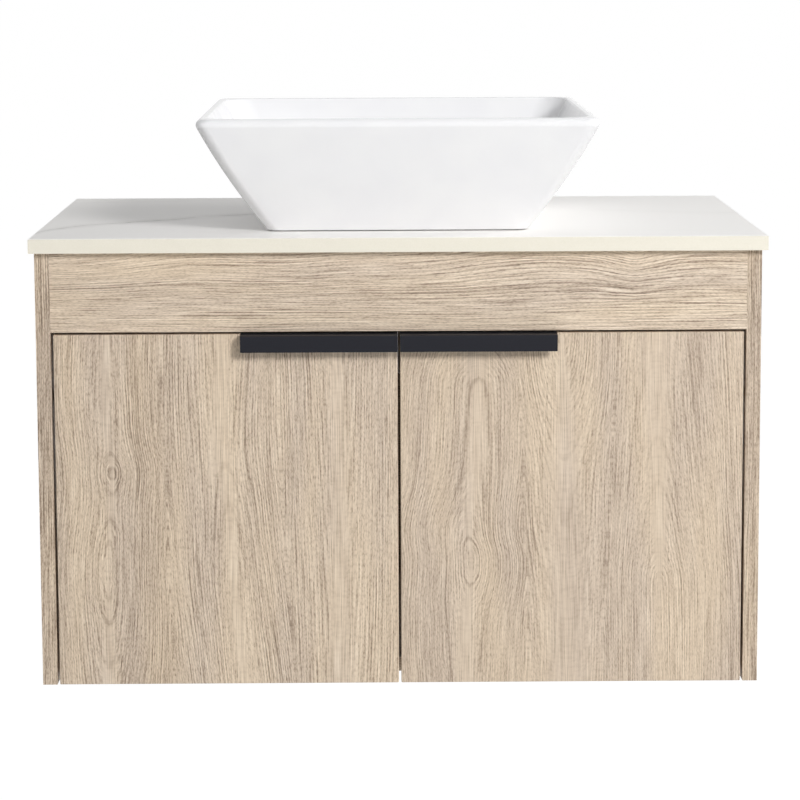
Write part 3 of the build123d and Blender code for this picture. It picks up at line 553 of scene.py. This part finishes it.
def roundedProfile(corners, steps):
    # closed profile through (half width, height, corner radius, fillet radius) points
    path = []
    for i, (half, z, corner, fillet) in enumerate(corners):
        here = Vector((half, z))
        before, after = corners[i - 1], corners[(i + 1) % len(corners)]
        if fillet == 0:
            path.append((half, corner, z))
            continue
        back = (Vector(before[:2]) - here).normalized()
        on = (Vector(after[:2]) - here).normalized()
        opening = back.angle(on)
        reach = fillet / math.tan(opening / 2)
        centre = here + (back + on).normalized() * fillet / math.sin(opening / 2)
        first, last = here + back * reach - centre, here + on * reach - centre
        for step in range(steps + 1):
            arm = first.lerp(last, step / steps).normalized() * fillet
            path.append((centre.x + arm.x, corner, centre.y + arm.y))
    return path


def basinProfile():
    b = basin
    top, bowl = b["base"] + b["height"], b["base"] + b["floor"]

    def outside(rise):
        s = rise / b["height"]
        return b["baseHalf"] + (b["rimHalf"] - b["baseHalf"]) * s + 4 * b["swell"] * s * (1 - s)

    def inside(rise):
        # parabola through floor, middle and rim
        low, mid, high = b["floor"], (b["floor"] + b["height"]) / 2, b["height"]
        a, m, c = outside(low) - b["wall"], outside(mid) - b["wall"], outside(high) - b["rimWall"]
        return (a * (rise - mid) * (rise - high) / ((low - mid) * (low - high))
                + m * (rise - low) * (rise - high) / ((mid - low) * (mid - high))
                + c * (rise - low) * (rise - mid) / ((high - low) * (high - mid)))

    rises = [b["height"] * i / b["wallSteps"] for i in range(b["wallSteps"] + 1)]
    outer, inner = b["outerCorner"], b["bowlCorner"]
    corners = [(b["drain"], b["base"], b["drain"], 0), (b["baseHalf"], b["base"], outer, b["baseRound"])]
    corners += [(outside(r), b["base"] + r, outer, 0) for r in rises[1:-1]]
    corners += [(b["rimHalf"], top, outer, b["rimRound"]), (inside(b["height"]), top, inner, b["rimInner"])]
    wallEnd = b["floor"] + b["bowlRound"] * b["wallClear"]
    corners += [(inside(r), b["base"] + r, inner, 0) for r in reversed(rises[:-1]) if r > wallEnd]
    corners += [(inside(b["floor"]), bowl, inner, b["bowlRound"]), (b["floorRing"], bowl, inner, 0)]
    corners += [(b["drain"], bowl, b["drain"], b["drainRound"]), (b["drain"], b["base"], b["drain"], 0)]
    return roundedProfile(corners, b["roundSteps"])


def loftTree():
    # grid rows follow the profile points, grid columns go round the square
    tree = bpy.data.node_groups.new("roundedSquareLoft", "GeometryNodeTree")
    ids = {}
    for name, kind in (("Profile", "NodeSocketGeometry"), ("Corner Steps", "NodeSocketInt"),
                       ("Centre", "NodeSocketVector"), ("Glaze", "NodeSocketMaterial")):
        ids[name] = tree.interface.new_socket(name, in_out="INPUT", socket_type=kind).identifier
    tree.interface.new_socket("Mesh", in_out="OUTPUT", socket_type="NodeSocketGeometry")
    given = addNode(tree, "NodeGroupInput").outputs
    size = addNode(tree, "GeometryNodeAttributeDomainSize", {0: given["Profile"]}, component="MESH")
    rows = size.outputs["Point Count"]
    perCorner = addNode(tree, "ShaderNodeMath", {0: given["Corner Steps"], 1: 1.0}, operation="ADD").outputs[0]
    columns = addNode(tree, "ShaderNodeMath", {0: perCorner, 1: 4.0, 2: 1.0},
                      operation="MULTIPLY_ADD").outputs[0]
    grid = addNode(tree, "GeometryNodeMeshGrid", {"Vertices X": columns, "Vertices Y": rows}).outputs["Mesh"]
    index = addNode(tree, "GeometryNodeInputIndex").outputs[0]
    middle = addNode(tree, "ShaderNodeMath", {0: index, 1: 0.5}, operation="ADD").outputs[0]
    turns = addNode(tree, "ShaderNodeMath", {0: middle, 1: rows}, operation="DIVIDE").outputs[0]
    column = addNode(tree, "ShaderNodeMath", {0: turns}, operation="FLOOR").outputs[0]
    done = addNode(tree, "ShaderNodeMath", {0: column, 1: rows}, operation="MULTIPLY").outputs[0]
    row = addNode(tree, "ShaderNodeMath", {0: index, 1: done}, operation="SUBTRACT").outputs[0]
    nudged = addNode(tree, "ShaderNodeMath", {0: column, 1: 0.5}, operation="ADD").outputs[0]
    quarter = addNode(tree, "ShaderNodeMath", {0: nudged, 1: perCorner}, operation="DIVIDE").outputs[0]
    quarter = addNode(tree, "ShaderNodeMath", {0: quarter}, operation="FLOOR").outputs[0]
    passed = addNode(tree, "ShaderNodeMath", {0: quarter, 1: perCorner}, operation="MULTIPLY").outputs[0]
    step = addNode(tree, "ShaderNodeMath", {0: column, 1: passed}, operation="SUBTRACT").outputs[0]
    part = addNode(tree, "ShaderNodeMath", {0: step, 1: given["Corner Steps"]}, operation="DIVIDE").outputs[0]
    turn = addNode(tree, "ShaderNodeMath", {0: quarter, 1: part}, operation="ADD").outputs[0]
    turn = addNode(tree, "ShaderNodeMath", {0: turn, 1: math.pi / 2}, operation="MULTIPLY").outputs[0]
    corner = addNode(tree, "ShaderNodeMath", {0: quarter, 1: math.pi / 2, 2: math.pi / 4},
                     operation="MULTIPLY_ADD").outputs[0]
    where = addNode(tree, "GeometryNodeInputPosition").outputs[0]
    point = addNode(tree, "GeometryNodeSampleIndex", {0: given["Profile"], "Value": where, "Index": row},
                    data_type="FLOAT_VECTOR").outputs[0]
    half, radius, height = addNode(tree, "ShaderNodeSeparateXYZ", {0: point}).outputs
    inset = addNode(tree, "ShaderNodeMath", {0: half, 1: radius}, operation="SUBTRACT").outputs[0]
    diagonal = addNode(tree, "ShaderNodeMath", {0: inset, 1: math.sqrt(2)}, operation="MULTIPLY").outputs[0]
    sides = []
    for wave in ("COSINE", "SINE"):
        arc = addNode(tree, "ShaderNodeMath", {0: turn}, operation=wave).outputs[0]
        arc = addNode(tree, "ShaderNodeMath", {0: arc, 1: radius}, operation="MULTIPLY").outputs[0]
        hub = addNode(tree, "ShaderNodeMath", {0: corner}, operation=wave).outputs[0]
        sides.append(addNode(tree, "ShaderNodeMath", {0: hub, 1: diagonal, 2: arc},
                             operation="MULTIPLY_ADD").outputs[0])
    spot = addNode(tree, "ShaderNodeCombineXYZ", {0: sides[0], 1: sides[1], 2: height}).outputs[0]
    spot = addNode(tree, "ShaderNodeVectorMath", {0: spot, 1: given["Centre"]}, operation="ADD").outputs[0]
    shaped = addNode(tree, "GeometryNodeSetPosition", {"Geometry": grid, "Position": spot}).outputs[0]
    closed = addNode(tree, "GeometryNodeMergeByDistance", {"Geometry": shaped,
                                                           "Distance": basin["weld"]}).outputs[0]
    smooth = addNode(tree, "GeometryNodeSetShadeSmooth", {"Geometry": closed}).outputs[0]
    real = addNode(tree, "GeometryNodeRealizeInstances", {"Geometry": smooth}).outputs[0]
    dressed = addNode(tree, "GeometryNodeSetMaterial", {"Geometry": real,
                                                        "Material": given["Glaze"]}).outputs[0]
    addNode(tree, "NodeGroupOutput", {0: dressed})
    return tree, ids


profile = basinProfile()
line = bpy.data.meshes.new("basinProfile")
line.from_pydata(profile, [(i, i + 1) for i in range(len(profile) - 1)], [])
helper = bpy.data.objects.new("basinProfile", line)
bpy.context.scene.collection.objects.link(helper)
tree, ids = loftTree()
loft = helper.modifiers.new("loft", "NODES")
loft.node_group = tree
loft[ids["Corner Steps"]] = basin["cornerSteps"]
loft[ids["Centre"]] = (*basin["centre"], 0.0)
loft[ids["Glaze"]] = slotFinish["white_ceramic"]
mesh = bakedMesh(helper)
shell = bmesh.new()
shell.from_mesh(mesh)
bmesh.ops.recalc_face_normals(shell, faces=shell.faces)
shell.to_mesh(mesh)
shell.free()
vessel = finishPiece("vesselBasin", mesh, "cabinet", ["basin"], slotFinish["white_ceramic"])
vessel.modifiers.new("evenShade", "WEIGHTED_NORMAL").keep_sharp = True


# Folded edge pulls: one strip of sheet bent over the door's top edge, its lip hanging in front
pull = {
    "length": 0.160, "sheet": 0.0015, "meeting": 0.00125, "top": 0.1355,
    "lipFront": -0.466, "lipDrop": 0.017, "back": -0.4335, "backDrop": 0.020,
    "fold": 0.0007, "corner": 0.0008, "edge": 0.00025,
    "cornerShares": (0, 0.08, 0.2, 0.36, 0.55, 0.77, 1), "foldSteps": 4, "columns": 8,
    "edgeSteps": 2, "edgeAngle": 50,
}


def edgePull(side):
    p = pull
    half = p["sheet"] / 2
    lip, back = p["lipFront"] + half, p["back"] - half
    high = p["top"] - half
    bends = [(lip, p["top"] - p["lipDrop"]), (lip, high), (back, high), (back, p["top"] - p["backDrop"])]
    path = []      # middle of the sheet as (y, z), from the lip's lower edge to the back's
    for share in p["cornerShares"]:
        path.append((lip, bends[0][1] + p["corner"] * share))
    for y, z, start in ((lip, high, math.pi), (back, high, math.pi / 2)):
        centreY = y + p["fold"] if y == lip else y - p["fold"]
        for step in range(p["foldSteps"] + 1):
            turn = start - math.pi / 2 * step / p["foldSteps"]
            path.append((centreY + p["fold"] * math.cos(turn), z - p["fold"] + p["fold"] * math.sin(turn)))
    path.append(bends[3])
    sheet = bmesh.new()
    rows = []
    for y, z in path:
        rise = z - bends[0][1]
        cut = 0.0
        if y == lip and rise < p["corner"]:
            cut = p["corner"] - math.sqrt(p["corner"] ** 2 - (p["corner"] - rise) ** 2)
        first, last = p["meeting"] + cut, p["meeting"] + p["length"] - cut
        places = [first + (last - first) * i / p["columns"] for i in range(p["columns"] + 1)]
        rows.append([sheet.verts.new((side * x, y, z)) for x in places])
    for lower, upper in zip(rows, rows[1:]):
        for i in range(p["columns"]):
            sheet.faces.new((lower[i], lower[i + 1], upper[i + 1], upper[i]))
    bmesh.ops.recalc_face_normals(sheet, faces=sheet.faces)
    mesh = bpy.data.meshes.new("pull")
    sheet.to_mesh(mesh)
    sheet.free()
    helper = bpy.data.objects.new("pull", mesh)
    bpy.context.scene.collection.objects.link(helper)
    thick = helper.modifiers.new("thick", "SOLIDIFY")
    thick.thickness, thick.offset, thick.use_even_offset = p["sheet"], 0.0, True
    eased = helper.modifiers.new("eased", "BEVEL")
    eased.width, eased.segments, eased.limit_method = p["edge"], p["edgeSteps"], "ANGLE"
    eased.angle_limit = math.radians(p["edgeAngle"])
    mesh = bakedMesh(helper)
    for face in mesh.polygons:
        face.use_smooth = True
    return mesh


for name, side in (("left", -1), ("right", 1)):
    piece = finishPiece(name + "EdgePull", edgePull(side), name + "_door",
                        [name + "_handle"], slotFinish["black_aluminium"])
    piece.modifiers.new("evenShade", "WEIGHTED_NORMAL").keep_sharp = True
    print(piece.name, [round(v, 5) for v in piece.dimensions])


def directView(tree):
    # 1 for the camera, mirrors and glass, 0 for light that falls on the object
    rays = addNode(tree, "ShaderNodeLightPath").outputs
    seen = rays["Is Camera Ray"]
    for other in ("Is Glossy Ray", "Is Transmission Ray"):
        seen = addNode(tree, "ShaderNodeMath", {0: seen, 1: rays[other]}, operation="MAXIMUM").outputs[0]
    return seen


# Pale floor at wall-hung height, white to the camera and to mirrors, with the object's shadow kept
floorPlan = {"height": -0.635, "half": 60.0, "paint": "#F2F2F1", "share": 0.86, "glow": 1.13}
plane = bmesh.new()
bmesh.ops.create_grid(plane, x_segments=1, y_segments=1, size=floorPlan["half"])
bmesh.ops.translate(plane, vec=(0, 0, floorPlan["height"]), verts=plane.verts)
floorMesh = bpy.data.meshes.new("studioFloor")
plane.to_mesh(floorMesh)
plane.free()
studioFloor = bpy.data.objects.new("studioFloor", floorMesh)
bpy.context.scene.collection.objects.link(studioFloor)
material, tree = newMaterial("paintedStudioFloor")
share = addNode(tree, "ShaderNodeMath", {0: directView(tree), 1: floorPlan["share"]},
                operation="MULTIPLY").outputs[0]
paint = addNode(tree, "ShaderNodeBsdfDiffuse", {"Color": hexLinear(floorPlan["paint"])}).outputs[0]
glow = addNode(tree, "ShaderNodeEmission", {"Color": (1, 1, 1, 1), "Strength": floorPlan["glow"]}).outputs[0]
mixed = addNode(tree, "ShaderNodeMixShader", {0: share, 1: paint, 2: glow}).outputs[0]
addNode(tree, "ShaderNodeOutputMaterial", {"Surface": mixed})
floorMesh.materials.append(material)

# Studio light: even white room, one soft key from the upper right, weaker ones from both sides
room = {"ambient": 0.22}
world = bpy.data.worlds.new("studio")
bpy.context.scene.world = world
world.use_nodes = True
tree = world.node_tree
tree.nodes.clear()
power = addNode(tree, "ShaderNodeMapRange", {"Value": directView(tree), "To Min": room["ambient"],
                                             "To Max": 1.0}).outputs[0]
sky = addNode(tree, "ShaderNodeBackground", {"Color": (1, 1, 1, 1), "Strength": power}).outputs[0]
addNode(tree, "ShaderNodeOutputWorld", {"Surface": sky})

lamps = {
    "keySoftbox": {"from": (0.451, -0.782, 0.430), "distance": 5.0, "aim": (0, -0.35, 0.1),
                   "size": 1.2, "watts": 177.0},
    "sideSoftbox": {"from": (0.9, 0.13, 0.45), "distance": 2.6, "aim": (0, -0.23, 0.2),
                    "size": 1.0, "watts": 22.0},
    "fillSoftbox": {"from": (-0.85, -0.2, 0.45), "distance": 3.0, "aim": (0, -0.23, 0.2),
                    "size": 1.4, "watts": 8.0},
}
for name, lamp in lamps.items():
    light = bpy.data.lights.new(name, "AREA")
    light.energy, light.size = lamp["watts"], lamp["size"]
    holder = bpy.data.objects.new(name, light)
    towards = Vector(lamp["from"]).normalized()
    holder.location = Vector(lamp["aim"]) + towards * lamp["distance"]
    holder.rotation_euler = towards.to_track_quat("Z", "Y").to_euler()
    bpy.context.scene.collection.objects.link(holder)
print("stage and lamps:", list(lamps))

# Camera fitted to the edges of cabinet, slab and basin; the frame is 800 pixels square
view = {"focalPixels": 2804.5, "frame": 800, "sensor": 36.0, "place": (-0.0180, -3.2832, 0.5265),
        "yaw": 0.391, "pitch": 7.584, "roll": 0.249, "shift": -0.10}
yaw, pitch, roll = (math.radians(view[k]) for k in ("yaw", "pitch", "roll"))
ahead = Vector((math.cos(pitch) * math.sin(yaw), math.cos(pitch) * math.cos(yaw), -math.sin(pitch)))
right = Vector((math.cos(yaw), -math.sin(yaw), 0))
over = Vector((math.sin(pitch) * math.sin(yaw), math.sin(pitch) * math.cos(yaw), math.cos(pitch)))
right, over = math.cos(roll) * right - math.sin(roll) * over, math.sin(roll) * right + math.cos(roll) * over
lens = bpy.data.cameras.new("productCamera")
lens.sensor_width = view["sensor"]
lens.lens = view["focalPixels"] / view["frame"] * lens.sensor_width
lens.shift_y = view["shift"]
camera = bpy.data.objects.new("productCamera", lens)
camera.matrix_world = Matrix.Translation(view["place"]) @ Matrix((right, over, -ahead)).transposed().to_4x4()
bpy.context.scene.collection.objects.link(camera)
bpy.context.scene.camera = camera
bpy.context.scene.view_settings.view_transform = "Standard"
print("camera lens", round(lens.lens, 2))
